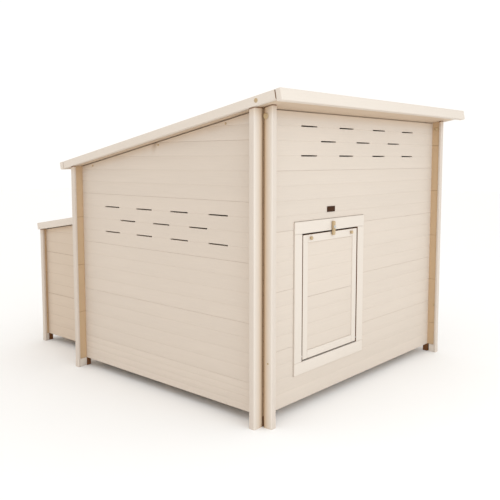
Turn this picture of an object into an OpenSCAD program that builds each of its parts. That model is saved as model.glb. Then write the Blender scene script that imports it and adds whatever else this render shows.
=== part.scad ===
// Raised chicken coop built from interlocking boards.
// The walls cross at the corners like a log cabin, each corner leaf is capped
// by a post that is also a leg, and a nest box with a sloping lid hangs on the
// back. The roof and the lid lift, and the pop door drops to make a ramp.
// Millimetres, +Z up, door in the -Y side. The origin is on the ground under
// the middle of the whole coop.

/* [Boards] */
// Height of one wall board
board_h = 190; // [150:1:230]
// Thickness of the wall boards
board_t = 20; // [16:1:26]
// How far a wall's corner leaf stands past the wall it crosses
leaf = 40; // [32:1:60]
// Height of the legs below the walls
leg_h = 32; // [20:1:80]
// How far the post skins stand proud of the boards
post_proud = 2; // [1:0.5:3]
// Thickness of the post skins
post_skin = 6; // [5:0.5:8]

/* [House] */
// Width over the side walls
house_w = 1120; // [1000:5:1400]
// Depth over the front and back walls
house_d = 952; // [850:2:1200]
// Slope of the roof in degrees
roof_pitch = 10.8; // [9:0.1:12.5]
// Height of the walls above their last full board
wall_over = 8; // [0:0.5:15]

/* [Roof] */
// Overhang of the roof past each side wall
roof_side = 47.5; // [44:0.5:80]
// Overhang of the roof's top edge past the front wall
roof_front = 106; // [80:1:150]
// Overhang of the roof's top edge past the back wall
roof_back = 68; // [66:1:80]
// Height of the roof trims above the soffit
roof_h = 28.5; // [27:0.5:45]
// How far the front trim hangs below the soffit
front_drop = 8; // [0:0.5:12]
// Thickness of the roof trims
roof_trim_t = 21; // [15:1:25]
// Thickness of the roof's top boards
roof_board_t = 12; // [8:1:14]
// Thickness of the soffit boards
soffit_t = 8; // [6:1:10]

/* [Door] */
// Clear width of the doorway
door_w = 330; // [260:1:360]
// Clear height of the doorway
door_h = 426; // [380:1:460]
// Height of the doorway above the bottom of the walls
door_z = 129; // [110:1:135]
// Distance from the left wall's face to the doorway
door_x = 195; // [160:1:400]
// Width of the frame members round the doorway
door_trim = 40; // [30:1:50]
// Gap all round the door
door_gap = 5; // [4:0.5:8]
// Width of the door's edging
edging_w = 27; // [24:1:40]
// Thickness of the door's edging
edging_t = 16; // [14:1:18]
// Thickness of the door's boards
door_board_t = 10; // [8:1:12]
// Radius of the door's pivots
pivot_r = 4; // [3:0.5:5]
// Length of the turn button
latch_l = 48; // [40:1:60]
// Width of the turn button
latch_w = 13; // [10:1:16]
// Thickness of the turn button
latch_t = 9; // [6:1:12]

/* [Vents] */
// Length of a vent slot
slot_l = 87; // [60:1:100]
// Height of a vent slot
slot_h = 4.5; // [3:0.5:8]
// Distance between slot centres in the front wall
slot_step_front = 217; // [200:1:230]
// Distance between slot centres in the side walls
slot_step_side = 186; // [175:1:200]
// Distance from the front wall's face to the middle of the side slots
side_vent_mid = 467; // [440:1:480]

/* [Nest box] */
// Distance from the side wall's face to the nest box
nest_inset = 105; // [95:1:160]
// Depth of the nest box over its rear wall
nest_d = 450; // [380:2:500]
// How far a nest wall's corner leaf stands past the wall it crosses
nest_leaf = 20; // [16:1:40]
// Slope of the nest lid in degrees
nest_pitch = 8.5; // [7:0.1:11]
// Height of the nest box's walls above their last full board
nest_over = 6; // [0:0.5:12]
// Height of the lid trims
lid_h = 30; // [24:1:36]
// Thickness of the lid trims
lid_trim_t = 16; // [12:1:20]
// Width of a nest opening in the back wall
nest_hole_w = 230; // [180:1:250]
// Height of a nest opening in the back wall
nest_hole_h = 280; // [240:1:300]

/* [Inside] */
// Thickness of the floor boards
floor_t = 12; // [9:1:18]
// Width of a roost bar
roost_w = 44; // [35:1:60]
// Height of a roost bar
roost_h = 32; // [25:1:45]

/* [Fixings] */
// Radius of the large bolt heads
bolt_head_r = 9.5; // [8:0.5:11]
// Radius of the screws' shanks
screw_r = 3; // [2.5:0.5:4]
// Radius of the hinge pins
pin_r = 2.5; // [2:0.5:3]

/* [Hidden] */
$fn = 48;
// Running clearance of the moving pieces, and radial clearance of pins and screws
gap = 0.4;
fit = 0.04;
// Hairline seam between neighbouring boards and members of one group
seam = 0.3;
// A length that is certain to pass right through what it cuts
far = 3000;
// The front wall is five boards high and the back wall is four
front_rows = 5;
back_rows = 4;
quarter = board_h / 4;

// Roof: its underside is a plane through the top of the back wall's outer face
function seat_z(y) = leg_h + back_rows * board_h + wall_over + (house_d - y) * tan(roof_pitch);
roof_v0 = (-roof_front - roof_h * sin(roof_pitch)) / cos(roof_pitch);
roof_v1 = (house_d + roof_back - roof_h * sin(roof_pitch)) / cos(roof_pitch);
roof_inner_v0 = roof_v0 + roof_trim_t + seam;
roof_inner_v1 = roof_v1 - roof_trim_t - seam;
roof_inner_x0 = -roof_side + roof_trim_t;
roof_inner_w = house_w + 2 * (roof_side - roof_trim_t);
// The top boards stop this far below the trims' top edge
roof_sink = 2;
roof_board_rows = 6;
batten_w = 40;

// Nest box: its lid seat passes through the top of the rear wall's outer face
nest_y1 = house_d + nest_d;
nest_rear_h = 2.5 * board_h + nest_over;
function nest_seat_z(y) = leg_h + nest_rear_h + (nest_y1 - y) * tan(nest_pitch);
nest_x0 = nest_inset;
nest_x1 = house_w - nest_inset;
nest_count = 3;
divider_t = 12;
divider_h = 260;
nest_bay = (nest_x1 - nest_x0 - 2 * board_t - (nest_count - 1) * divider_t) / nest_count;
function nest_bay_x(i) = nest_x0 + board_t + i * (nest_bay + divider_t);
nest_floor_z = leg_h + 24;
nest_hole_z = leg_h + 80;
// The lid covers the corner leaves and stands this far past them
lid_past = 2;
lid_sink = 2;
lid_x0 = nest_x0 - nest_leaf - lid_past;
lid_w = house_w - 2 * lid_x0;
lid_v0 = 4 / cos(nest_pitch);
lid_v1 = (nest_d + nest_leaf + lid_past - lid_h * sin(nest_pitch)) / cos(nest_pitch);

// Whole coop from front to back, for the origin
front_y = roof_v0 * cos(roof_pitch) - front_drop * sin(roof_pitch);
rear_y = house_d + lid_v1 * cos(nest_pitch) + lid_h * sin(nest_pitch);
origin_y = (front_y + rear_y) / 2;

// Door
door_proud = 5;
door_face_y = -4;
door_inner_y = door_face_y + edging_t;
door_board_y = door_face_y + 3;
door_x0 = door_x + door_gap;
door_x1 = door_x + door_w - door_gap;
door_z0 = leg_h + door_z + door_gap;
door_z1 = leg_h + door_z + door_h - door_gap;
door_board_w = door_x1 - door_x0 - 2 * edging_w;
door_board_h = (door_z1 - door_z0 - 2 * edging_w) / 2;
// The door turns on pins in its side edging, near its outer face
door_axis_y = door_face_y + 5;
door_axis_z = door_z0 + 12;
pivot_depth = 8;
cleat_count = 6;
cleat_t = 6;
cleat_h = 10;
knob_r = 6.5;
knob_z = door_z1 - 12;
knob_inset = 40;
latch_x = door_x + door_w / 2 + 4;
latch_z = leg_h + door_z + door_h + 12;
latch_above = 19;
latch_y1 = -door_proud - gap;

// Corner leaves: the boards are thinned to slide into the posts
leaf_out = post_skin - post_proud;
leaf_in = 4;
lip_w = 10;
leaf_bolt_y = 16;
leaf_bolt_drop = 26;
leaf_screw_y = 24.5;
leaf_screw_z = leg_h + 173;
leaf_screw_head_r = 5;

// Eave rails and their screws
rail_t = 22;
rail_w = 26;
rail_drop = 4;
eave_screw_y = [0.16, 0.5, 0.908] * house_d;
eave_screw_drop = 13;
eave_head_r = 6.5;

// Inside
floor_z = leg_h + 30;
floor_rows = 6;
bearer_w = 40;
roost_z = leg_h + 2.1 * board_h;
roost_y = [0.55, 0.8] * house_d;
bracket_t = 18;
bracket_wall = 9;

// Hinges. Each has a plate on the house and a strap on what it carries, and the
// pin clears the strap's plate by the knuckle's radius and the running clearance.
knuckle_r = 4.5;
hinge_t = 2;
web_inset = 0.2;
plate_l = 36;
hinge_drop = knuckle_r + gap + hinge_t;
roof_hinge_l = 17;
roof_hinge_y = house_d + leaf + knuckle_r + 1;
roof_hinge_z = seat_z(roof_hinge_y) - hinge_drop / cos(roof_pitch);
roof_hinge_v = (roof_hinge_y + hinge_drop * sin(roof_pitch)) / cos(roof_pitch);
lid_hinge_l = 60;
lid_hinge_x = [0.25, 0.5, 0.75] * house_w;
lid_strap_l = 60;
lid_hinge_w = lid_h - lid_sink + hinge_drop;
lid_hinge_y = house_d + knuckle_r + 1;
lid_hinge_v = (knuckle_r + 1 - lid_hinge_w * sin(nest_pitch)) / cos(nest_pitch);
lid_hinge_z = nest_seat_z(house_d) - lid_hinge_v * sin(nest_pitch) + lid_hinge_w * cos(nest_pitch);

cream = [0.90, 0.85, 0.77];
shade = [0.85, 0.78, 0.67];
tan_wood = [0.74, 0.62, 0.47];
steel = [0.70, 0.70, 0.70];
dark = [0.20, 0.17, 0.14];

// --- Frames and cutters -------------------------------------------------------

// Moves from the house's own frame (left front corner of the walls) to the origin
module placed() { translate([-house_w / 2, -origin_y, 0]) children(); }

// Frame lying in the underside of the roof: X across, Y down the slope, Z out of the roof
module roof_frame() { translate([0, 0, seat_z(0)]) rotate([-roof_pitch, 0, 0]) children(); }

// The same for the nest lid, from the back wall's outer face
module lid_frame() {
    translate([0, house_d, nest_seat_z(house_d)]) rotate([-nest_pitch, 0, 0]) children();
}

module mirrored() { translate([house_w, 0, 0]) mirror([1, 0, 0]) children(); }

module box(lo, hi) { translate(lo) cube(hi - lo); }

// Everything below the roof's underside, less the clearance
module under_roof() {
    roof_frame() translate([-far, -far, -far - gap]) cube([2 * far + house_w, 2 * far, far]);
}

module under_lid() {
    lid_frame() translate([-far, -far, -far - gap]) cube([2 * far + house_w, 2 * far, far]);
}

module drill_x(y, z, r) { translate([-far, y, z]) rotate([0, 90, 0]) cylinder(r = r, h = 2 * far); }

// Bores for the bolt and the small screw through the side walls' leaves, and for the eave screws
module side_wall_bores() {
    leaf_bolt_places() drill_x(0, 0, screw_r + fit);
    leaf_screw_places() drill_x(0, 0, screw_r + fit);
    for (y = eave_screw_y) drill_x(y, seat_z(y) - eave_screw_drop, screw_r + fit);
}

module leaf_bolt_places() {
    translate([0, -leaf_bolt_y, seat_z(0) - leaf_bolt_drop]) children();
    translate([0, house_d + leaf_bolt_y, seat_z(house_d) - leaf_bolt_drop]) children();
}

module leaf_screw_places() {
    for (y = [-leaf_screw_y, house_d + leaf_screw_y]) translate([0, y, leaf_screw_z]) children();
}

// --- Wall boards -------------------------------------------------------------

// A board that runs along X from x0 to x1 and is crossed at both ends by walls
// board_t thick. It fills z0 to z1 and keeps only neck0 to neck1 at the crossings.
// outer is -1 when its outer face is the -Y one and 1 when it is the +Y one, and
// reach is how far its leaves stand past those walls.
module crossed_board(x0, x1, y, z0, z1, neck0, neck1, outer, reach) {
    yo = outer < 0 ? y + leaf_out : y + leaf_in;
    ti = board_t - leaf_out - leaf_in;
    box([x0 + board_t, y, z0], [x1 - board_t, y + board_t, z1]);
    for (x = [x0, x1 - board_t]) box([x, y, neck0], [x + board_t, y + board_t, neck1]);
    box([x0 - reach + post_skin, yo, z0], [x0, yo + ti, z1]);
    box([x1, yo, z0], [x1 + reach - post_skin, yo + ti, z1]);
}

// Rows of slots, three in the middle row and four in the others
module vent_slots(mid, step, z0) {
    for (row = [1:3]) {
        count = row == 2 ? 3 : 4;
        for (i = [0:count - 1])
            translate([mid + (i - (count - 1) / 2) * step - slot_l / 2, -far, z0 + row * quarter - slot_h / 2])
                cube([slot_l, 2 * far, slot_h]);
    }
}

module door_cut() {
    box([door_x - door_trim, -board_t, leg_h + door_z - door_trim],
        [door_x + door_w + door_trim, 2 * board_t, leg_h + door_z + door_h + door_trim]);
}

// The last row of a wall runs on up to the roof
module front_board(k) {
    z0 = leg_h + (k - 1) * board_h;
    z1 = k == front_rows ? far : z0 + board_h;
    color(cream) placed() difference() {
        intersection() {
            crossed_board(0, house_w, 0, z0, z1, z0 + quarter, z0 + 3 * quarter, -1, leaf);
            under_roof();
        }
        door_cut();
        if (k == front_rows) vent_slots(house_w / 2, slot_step_front, z0);
    }
}

module nest_holes() {
    for (i = [0:nest_count - 1])
        translate([nest_bay_x(i) + (nest_bay - nest_hole_w) / 2, house_d - 2 * board_t, nest_hole_z])
            cube([nest_hole_w, 3 * board_t, nest_hole_h]);
}

module back_board(k) {
    z0 = leg_h + (k - 1) * board_h;
    z1 = k == back_rows ? far : z0 + board_h;
    color(cream) placed() difference() {
        intersection() {
            crossed_board(0, house_w, house_d - board_t, z0, z1, z0 + quarter, z0 + 3 * quarter, 1, leaf);
            under_roof();
        }
        nest_holes();
    }
}

// Side boards start with a half board, so they lock between the front boards
module side_board(j) {
    z0 = leg_h + (j == 1 ? 0 : (j - 1.5) * board_h);
    z1 = leg_h + (j - 0.5) * board_h;
    neck0 = j == 1 ? z0 : z0 + quarter;
    color(shade) placed() difference() {
        intersection() {
            translate([board_t, 0, 0]) rotate([0, 0, 90])
                crossed_board(0, house_d, 0, z0, z1, neck0, z1 - quarter, 1, leaf);
            under_roof();
        }
        side_wall_bores();
        if (j == 4) rotate([0, 0, 90]) vent_slots(side_vent_mid, slot_step_side, z0);
    }
}

module left_board(j) { side_board(j); }
module right_board(j) { mirror([1, 0, 0]) side_board(j); }

// --- Posts --------------------------------------------------------------------

// Channel round the end of a leaf that runs reach along -X from the origin, outer
// face towards -Y. Its foot reaches foot_in past the origin, under the crossing.
module leaf_post(reach, foot_in, root_in) {
    box([-reach, -post_proud, 0], [foot_in, board_t, leg_h]);
    box([-reach, -post_proud, leg_h], [-root_in, leaf_out, far]);
    box([-reach, -post_proud, leg_h], [post_skin - reach, board_t, far]);
    box([-reach, board_t - leaf_in, leg_h], [lip_w - reach, board_t, far]);
}

// The post on the front wall's left leaf, and the one on the left wall's front leaf
module corner_posts() {
    leaf_post(leaf, board_t, 0);
    difference() {
        second_post(leaf);
        side_wall_bores();
    }
}

// The post of the crossing wall, which stops just short of the first one
module second_post(reach) {
    mirror([1, -1, 0]) leaf_post(reach, -post_proud - seam, post_proud + seam);
}

module front_left_posts() {
    color(cream) placed() intersection() {
        corner_posts();
        under_roof();
    }
}

module front_right_posts() { mirror([1, 0, 0]) front_left_posts(); }

// The back corner is the front one turned end for end, with the bores where they belong
module back_left_posts() {
    color(cream) placed() difference() {
        intersection() {
            translate([0, house_d, 0]) mirror([0, 1, 0]) {
                leaf_post(leaf, board_t, 0);
                second_post(leaf);
            }
            under_roof();
        }
        side_wall_bores();
    }
}

module back_right_posts() { mirror([1, 0, 0]) back_left_posts(); }

// --- Door ----------------------------------------------------------------------

module door_frame() {
    x0 = door_x;
    x1 = door_x + door_w;
    z0 = leg_h + door_z;
    z1 = z0 + door_h;
    color(cream) placed() {
        for (z = [z0 - door_trim, z1])
            box([x0 - door_trim, -door_proud, z], [x1 + door_trim, board_t, z + door_trim]);
        for (x = [x0 - door_trim, x1])
            difference() {
                box([x, -door_proud, z0 + seam], [x + door_trim, board_t, z1 - seam]);
                door_pivot_rods(pivot_r + fit, gap);
            }
    }
}

module door_boards() {
    color(cream) placed()
        for (i = [0, 1])
            translate([door_x0 + edging_w, door_board_y, door_z0 + edging_w + i * door_board_h])
                cube([door_board_w, door_board_t, door_board_h - seam]);
}

module door_edging() {
    color(cream) placed() {
        for (z = [door_z0, door_z1 - edging_w])
            box([door_x0 + edging_w + seam, door_face_y, z],
                [door_x1 - edging_w - seam, door_inner_y, z + edging_w]);
        for (x = [door_x0, door_x1 - edging_w])
            difference() {
                box([x, door_face_y, door_z0], [x + edging_w, door_inner_y, door_z1]);
                door_pivot_rods(pivot_r + fit, 0);
            }
    }
}

// Two rods on the door's axis that reach pivot_depth into the frame and the edging
module door_pivot_rods(r, longer) {
    for (x = [door_x - pivot_depth - longer, door_x1 - pivot_depth - longer])
        translate([x, door_axis_y, door_axis_z]) rotate([0, 90, 0])
            cylinder(r = r, h = 2 * pivot_depth + door_gap + 2 * longer);
}

module door_pivots() { color(steel) placed() door_pivot_rods(pivot_r, 0); }

module door_cleats() {
    step = (door_z1 - door_z0 - 2 * edging_w) / cleat_count;
    color(tan_wood) placed()
        for (i = [0:cleat_count - 1])
            translate([door_x0 + edging_w, door_board_y + door_board_t,
                       door_z0 + edging_w + (i + 0.5) * step - cleat_h / 2])
                cube([door_board_w, cleat_t, cleat_h]);
}

// Mushroom knob, its axis along -Y from the face it sits on
module door_knobs() {
    color(tan_wood) placed()
        for (x = [door_x0 + knob_inset, door_x1 - knob_inset])
            translate([x, door_face_y, knob_z]) rotate([90, 0, 0]) {
                cylinder(r = knob_r * 0.6, h = 4);
                translate([0, 0, 4]) cylinder(r = knob_r, h = 4);
            }
}

module door_latch() {
    color(tan_wood) placed() difference() {
        translate([latch_x - latch_w / 2, latch_y1 - latch_t, latch_z + latch_above - latch_l])
            cube([latch_w, latch_t, latch_l]);
        translate([latch_x, 0, latch_z]) rotate([90, 0, 0])
            cylinder(r = screw_r + fit, h = far, center = true);
    }
}

module latch_screw() {
    color(steel) placed() translate([latch_x, -door_proud, latch_z]) rotate([90, 0, 0]) {
        cylinder(r = screw_r, h = latch_t + 2 * gap);
        translate([0, 0, latch_t + 2 * gap]) cylinder(r = screw_r * 1.7, h = 2);
    }
}

// Blank plate above the door
module name_plate() {
    color(dark) placed()
        box([latch_x - 27, -2, leg_h + 618], [latch_x + 19, 0, leg_h + 637]);
}

// --- Roof ----------------------------------------------------------------------

// Boards side by side down the slope, between the trims
module slope_boards(w0, w1, v0, v1, x0, width, rows) {
    step = (v1 - v0) / rows;
    for (i = [0:rows - 1]) box([x0, v0 + i * step, w0], [x0 + width, v0 + (i + 1) * step - seam, w1]);
}

module roof_boards() {
    w1 = roof_h - roof_sink;
    color(cream) placed() roof_frame()
        slope_boards(w1 - roof_board_t, w1, roof_inner_v0, roof_inner_v1, roof_inner_x0, roof_inner_w,
                     roof_board_rows);
}

module roof_soffit() {
    color(shade) placed() roof_frame()
        slope_boards(0, soffit_t, roof_inner_v0, roof_inner_v1, roof_inner_x0, roof_inner_w, roof_board_rows);
}

module roof_battens() {
    w1 = roof_h - roof_sink - roof_board_t;
    color(tan_wood) placed() roof_frame()
        for (i = [0:3])
            translate([roof_inner_x0 + i * (roof_inner_w - batten_w) / 3, roof_inner_v0, soffit_t])
                cube([batten_w, roof_inner_v1 - roof_inner_v0, w1 - soffit_t]);
}

// Trim across the roof at v, which hangs drop below the soffit
module roof_cross_trim(v, drop) {
    color(cream) placed() roof_frame()
        box([-roof_side, v, -drop], [house_w + roof_side, v + roof_trim_t, roof_h]);
}

module roof_front_trim() { roof_cross_trim(roof_v0, front_drop); }
module roof_rear_trim() { roof_cross_trim(roof_v1 - roof_trim_t, 0); }

module roof_left_trim() {
    color(cream) placed() roof_frame()
        box([-roof_side, roof_inner_v0, 0], [roof_inner_x0, roof_inner_v1, roof_h]);
}

module roof_right_trim() { mirror([1, 0, 0]) roof_left_trim(); }

// --- Hinges --------------------------------------------------------------------

// Rod along X, centred on x = 0
module x_rod(r, length) { rotate([0, 90, 0]) cylinder(r = r, h = length, center = true); }

// The middle third of a hinge's knuckle, or both outer thirds, round its own axis
module middle_knuckle(length) { x_rod(knuckle_r, length / 3 - 2 * gap); }

module outer_knuckles(length) {
    for (side = [-1, 1]) translate([side * length / 3, 0, 0]) x_rod(knuckle_r, length / 3);
}

// Small plates within the outer thirds, from lo to hi in Y and Z
module outer_webs(length, lo, hi) {
    for (side = [-1, 1])
        translate([side * length / 3 - length / 6, 0, 0])
            box([web_inset, lo[0], lo[1]], [length / 3 - web_inset, hi[0], hi[1]]);
}

// The roof hinges stand on the ends of the side walls' back leaves
module roof_hinge_places() {
    for (x = [board_t / 2, house_w - board_t / 2]) translate([x, roof_hinge_y, roof_hinge_z]) children();
}

module lid_hinge_places() {
    for (x = lid_hinge_x) translate([x, lid_hinge_y, lid_hinge_z]) children();
}

// Plate on a wall behind the knuckle, on the side that side_z gives: -1 below, 1 above
module wall_plate(length, wall_y, side_z) {
    root = knuckle_r + 1;
    neck_w = length / 3 - 2 * gap;
    difference() {
        union() {
            translate([-length / 2, wall_y, side_z < 0 ? -root - plate_l : root])
                cube([length, hinge_t, plate_l]);
            translate([-neck_w / 2, wall_y, side_z < 0 ? -root - 1 : 0])
                cube([neck_w, hinge_t, root + 1]);
            middle_knuckle(length);
        }
        x_rod(pin_r + fit, 2 * length);
    }
}

// Strap hinge_drop above the pin (or below it, with a negative drop), tilted with
// its panel, from the pin to reach. Its webs hold the outer knuckles.
module strap(length, pitch, drop, reach) {
    w0 = drop > 0 ? drop - hinge_t : drop;
    difference() {
        union() {
            outer_knuckles(length);
            rotate([-pitch, 0, 0]) {
                box([-length / 2, 0, w0], [length / 2, reach, w0 + hinge_t]);
                outer_webs(length, [0, min(0, w0)], [knuckle_r - 1, max(0, w0 + hinge_t)]);
            }
        }
        x_rod(pin_r + fit, 2 * length);
    }
}

module roof_hinge_plates() {
    color(steel) placed() roof_hinge_places()
        wall_plate(roof_hinge_l, house_d + leaf - roof_hinge_y, -1);
}

module roof_hinge_straps() {
    color(steel) placed() roof_hinge_places()
        strap(roof_hinge_l, roof_pitch, hinge_drop, roof_v1 - roof_hinge_v - 3);
}

module lid_hinge_plates() {
    color(steel) placed() lid_hinge_places() wall_plate(lid_hinge_l, house_d - lid_hinge_y, 1);
}

module lid_hinge_straps() {
    color(steel) placed() lid_hinge_places() strap(lid_hinge_l, nest_pitch, -hinge_drop, lid_strap_l);
}

module hinge_pins() {
    color(steel) placed() {
        roof_hinge_places() x_rod(pin_r, roof_hinge_l);
        lid_hinge_places() x_rod(pin_r, lid_hinge_l);
    }
}

// --- Nest box ------------------------------------------------------------------

module nest_left_wall() {
    y0 = nest_y1 - board_t;
    color(shade) placed() intersection() {
        for (k = [0:2]) {
            z0 = leg_h + k * board_h;
            z1 = k == 2 ? far : z0 + board_h - seam;
            neck1 = z0 + board_h - seam - quarter;
            box([nest_x0, house_d, z0], [nest_x0 + board_t, y0, z1]);
            box([nest_x0, y0, z0 + quarter], [nest_x0 + board_t, nest_y1, neck1]);
            box([nest_x0 + leaf_out, nest_y1, z0],
                [nest_x0 + board_t - leaf_in, nest_y1 + nest_leaf - post_skin, z1]);
        }
        under_lid();
    }
}

module nest_right_wall() { mirror([1, 0, 0]) nest_left_wall(); }

// Its boards start with a half board, so they lock between the side walls' boards
module nest_rear_wall() {
    color(cream) placed() intersection() {
        for (j = [1:3]) {
            z0 = leg_h + (j == 1 ? 0 : (j - 1.5) * board_h);
            z1 = leg_h + (j - 0.5) * board_h - seam;
            crossed_board(nest_x0, nest_x1, nest_y1 - board_t, z0, j == 3 ? far : z1,
                          (j == 1 ? z0 : z0 + quarter) + seam, z1 - quarter - seam, 1, nest_leaf);
        }
        under_lid();
    }
}

module nest_corner_posts() {
    translate([nest_x0, nest_y1, 0]) mirror([0, 1, 0]) {
        leaf_post(nest_leaf, board_t, 0);
        second_post(nest_leaf);
    }
}

module nest_posts() {
    color(cream) placed() intersection() {
        union() {
            nest_corner_posts();
            mirrored() nest_corner_posts();
        }
        under_lid();
    }
}

module nest_floor() {
    color(tan_wood) placed()
        box([nest_x0 + board_t, house_d, nest_floor_z],
            [nest_x1 - board_t, nest_y1 - board_t, nest_floor_z + floor_t]);
}

module nest_dividers() {
    color(shade) placed()
        for (i = [0:nest_count - 2])
            translate([nest_bay_x(i) + nest_bay, house_d, nest_floor_z + floor_t])
                cube([divider_t, nest_d - board_t, divider_h]);
}

module nest_lid_boards() {
    color(cream) placed() lid_frame()
        slope_boards(0, lid_h - lid_sink, lid_v0, lid_v1 - lid_trim_t, lid_x0 + lid_trim_t,
                     lid_w - 2 * lid_trim_t, 2);
}

module nest_lid_trim() {
    color(cream) placed() lid_frame() {
        for (x = [lid_x0, lid_x0 + lid_w - lid_trim_t])
            box([x, lid_v0, 0], [x + lid_trim_t, lid_v1 - lid_trim_t - seam, lid_h]);
        box([lid_x0, lid_v1 - lid_trim_t, 0], [lid_x0 + lid_w, lid_v1, lid_h]);
    }
}

// --- Inside --------------------------------------------------------------------

module floor_boards() {
    width = (house_w - 2 * board_t) / floor_rows;
    color(tan_wood) placed()
        for (i = [0:floor_rows - 1])
            translate([board_t + i * width, board_t, floor_z])
                cube([width - (i < floor_rows - 1 ? seam : 0), house_d - 2 * board_t, floor_t]);
}

module floor_bearers() {
    span = house_d - 2 * board_t - bearer_w;
    color(tan_wood) placed()
        for (i = [0:2])
            translate([board_t, board_t + i * span / 2, leg_h + 2])
                cube([house_w - 2 * board_t, bearer_w, floor_z - leg_h - 2]);
}

module roost_bars() {
    color(tan_wood) placed()
        for (y = roost_y)
            translate([board_t + gap, y - roost_w / 2, roost_z])
                cube([house_w - 2 * board_t - 2 * gap, roost_w, roost_h]);
}

// Open-topped cradles that the bars lift out of
module roost_brackets() {
    outer_w = roost_w + 2 * bracket_wall;
    color(shade) placed()
        for (y = roost_y, x = [board_t, house_w - board_t - bracket_t])
            difference() {
                translate([x, y - outer_w / 2, roost_z - bracket_wall])
                    cube([bracket_t, outer_w, bracket_wall + roost_h * 0.7]);
                translate([x - 1, y - roost_w / 2 - gap, roost_z])
                    cube([bracket_t + 2, roost_w + 2 * gap, roost_h]);
            }
}

// Rails along the top of each side wall's inner face, held by the eave screws
module eave_rails() {
    color(tan_wood) placed() difference() {
        roof_frame()
            for (x = [board_t, house_w - board_t - rail_t])
                box([x, (board_t + 8) / cos(roof_pitch), -rail_drop - rail_w],
                    [x + rail_t, (house_d - board_t - 2) / cos(roof_pitch), -rail_drop]);
        side_wall_bores();
    }
}

// Bolt along +X from a face at x = 0: its head outside, and a cap at the far end
module through_bolt(head_r, head_h, shank, cap_r, cap_h) {
    rotate([0, 90, 0]) {
        translate([0, 0, -head_h]) cylinder(r = head_r, h = head_h);
        cylinder(r = screw_r, h = shank);
        if (cap_h > 0) translate([0, 0, shank]) cylinder(r = cap_r, h = cap_h);
    }
}

module side_fixings() {
    through = board_t - leaf_in + post_proud;
    translate([-post_proud, 0, 0]) {
        leaf_bolt_places() through_bolt(bolt_head_r, 5, through, bolt_head_r - 1, leaf_in);
        leaf_screw_places() through_bolt(leaf_screw_head_r, 2, through, leaf_screw_head_r, 2);
    }
    for (y = eave_screw_y)
        translate([0, y, seat_z(y) - eave_screw_drop])
            through_bolt(eave_head_r, 4, board_t + rail_t - 4, 0, 0);
}

module fixings() {
    color(tan_wood) placed() {
        side_fixings();
        mirrored() side_fixings();
    }
}

front_board(1);  // front_board_1
front_board(2);  // front_board_2
front_board(3);  // front_board_3
front_board(4);  // front_board_4
front_board(5);  // front_board_5
back_board(1);  // back_board_1
back_board(2);  // back_board_2
back_board(3);  // back_board_3
back_board(4);  // back_board_4
left_board(1);  // left_board_1
left_board(2);  // left_board_2
left_board(3);  // left_board_3
left_board(4);  // left_board_4
left_board(5);  // left_board_5
left_board(6);  // left_board_6
right_board(1);  // right_board_1
right_board(2);  // right_board_2
right_board(3);  // right_board_3
right_board(4);  // right_board_4
right_board(5);  // right_board_5
right_board(6);  // right_board_6
front_left_posts();
front_right_posts();
back_left_posts();
back_right_posts();
door_frame();
door_boards();
door_edging();
door_cleats();
door_pivots();
door_knobs();
door_latch();
latch_screw();
name_plate();
roof_boards();
roof_soffit();
roof_battens();
roof_front_trim();
roof_rear_trim();
roof_left_trim();
roof_right_trim();
roof_hinge_plates();
roof_hinge_straps();
nest_left_wall();
nest_right_wall();
nest_rear_wall();
nest_posts();
nest_floor();
nest_dividers();
nest_lid_boards();
nest_lid_trim();
lid_hinge_plates();
lid_hinge_straps();
hinge_pins();
floor_boards();
floor_bearers();
roost_bars();
roost_brackets();
eave_rails();
fixings();
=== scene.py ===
"""Raised chicken coop of interlocking composite boards, finished around its CAD frame.

Every piece is a surface worked out with numpy in metres, in the frame's own axes: X across the
front, Y towards the nest box, Z up. A piece takes its place from the CAD nodes that it stands for.
"""

import math

import bpy
import bmesh
import numpy as np
from bpy.props import FloatProperty, FloatVectorProperty, PointerProperty
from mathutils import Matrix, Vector


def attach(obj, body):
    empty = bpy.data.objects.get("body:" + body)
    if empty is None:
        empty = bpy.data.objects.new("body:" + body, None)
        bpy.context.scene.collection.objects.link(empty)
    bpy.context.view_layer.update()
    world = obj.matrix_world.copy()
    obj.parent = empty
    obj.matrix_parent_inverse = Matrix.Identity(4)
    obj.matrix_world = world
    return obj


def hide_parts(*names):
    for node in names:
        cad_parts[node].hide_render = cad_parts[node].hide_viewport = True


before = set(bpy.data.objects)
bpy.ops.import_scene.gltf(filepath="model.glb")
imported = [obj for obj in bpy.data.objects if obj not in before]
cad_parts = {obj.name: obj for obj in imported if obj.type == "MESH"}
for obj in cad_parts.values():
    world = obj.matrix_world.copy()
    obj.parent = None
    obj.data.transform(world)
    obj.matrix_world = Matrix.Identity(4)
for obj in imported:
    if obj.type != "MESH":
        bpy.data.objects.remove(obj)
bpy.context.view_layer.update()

bl_info = {
    "name": "Chicken coop finisher",
    "version": (1, 0, 0),
    "blender": (4, 5, 0),
    "location": "3D View > Sidebar > Coop",
    "description": "Finishes the boards, posts, door, roof and nest box of a raised chicken coop",
    "category": "Object",
}

PLAIN = np.eye(3)
X, Y, Z = PLAIN
WALL_AXES = np.array([[Y, Z, X], [X, Z, Y]])
GRAIN_STEP = np.array([40, 17, 0])
CREASE = math.radians(40)
MERGE, DEGENERATE = 2e-6, 1e-7
PANEL_CLEARANCE = 0.0004
FRONT_ROWS_BELOW = 4
GROOVES = 3
# How far from a post the painted warm shade of its recess reaches along a board
POST_SHADE_REACH = 0.012
# Share of the painted dark shade in a seam or groove away from any recess
BARE_CRACK = 0.26
HAIR, TINY = 0.0002, 1e-9
LEAF_REACH = 0.04
SIDE_VENT_ROW = 3
BIG_HEAD = 0.008
NEST_HOLE, NEST_SILL = (0.230, 0.280), 0.080


def unit(vector):
    return vector / np.linalg.norm(vector)


# --- Reading the frame ---

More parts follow.
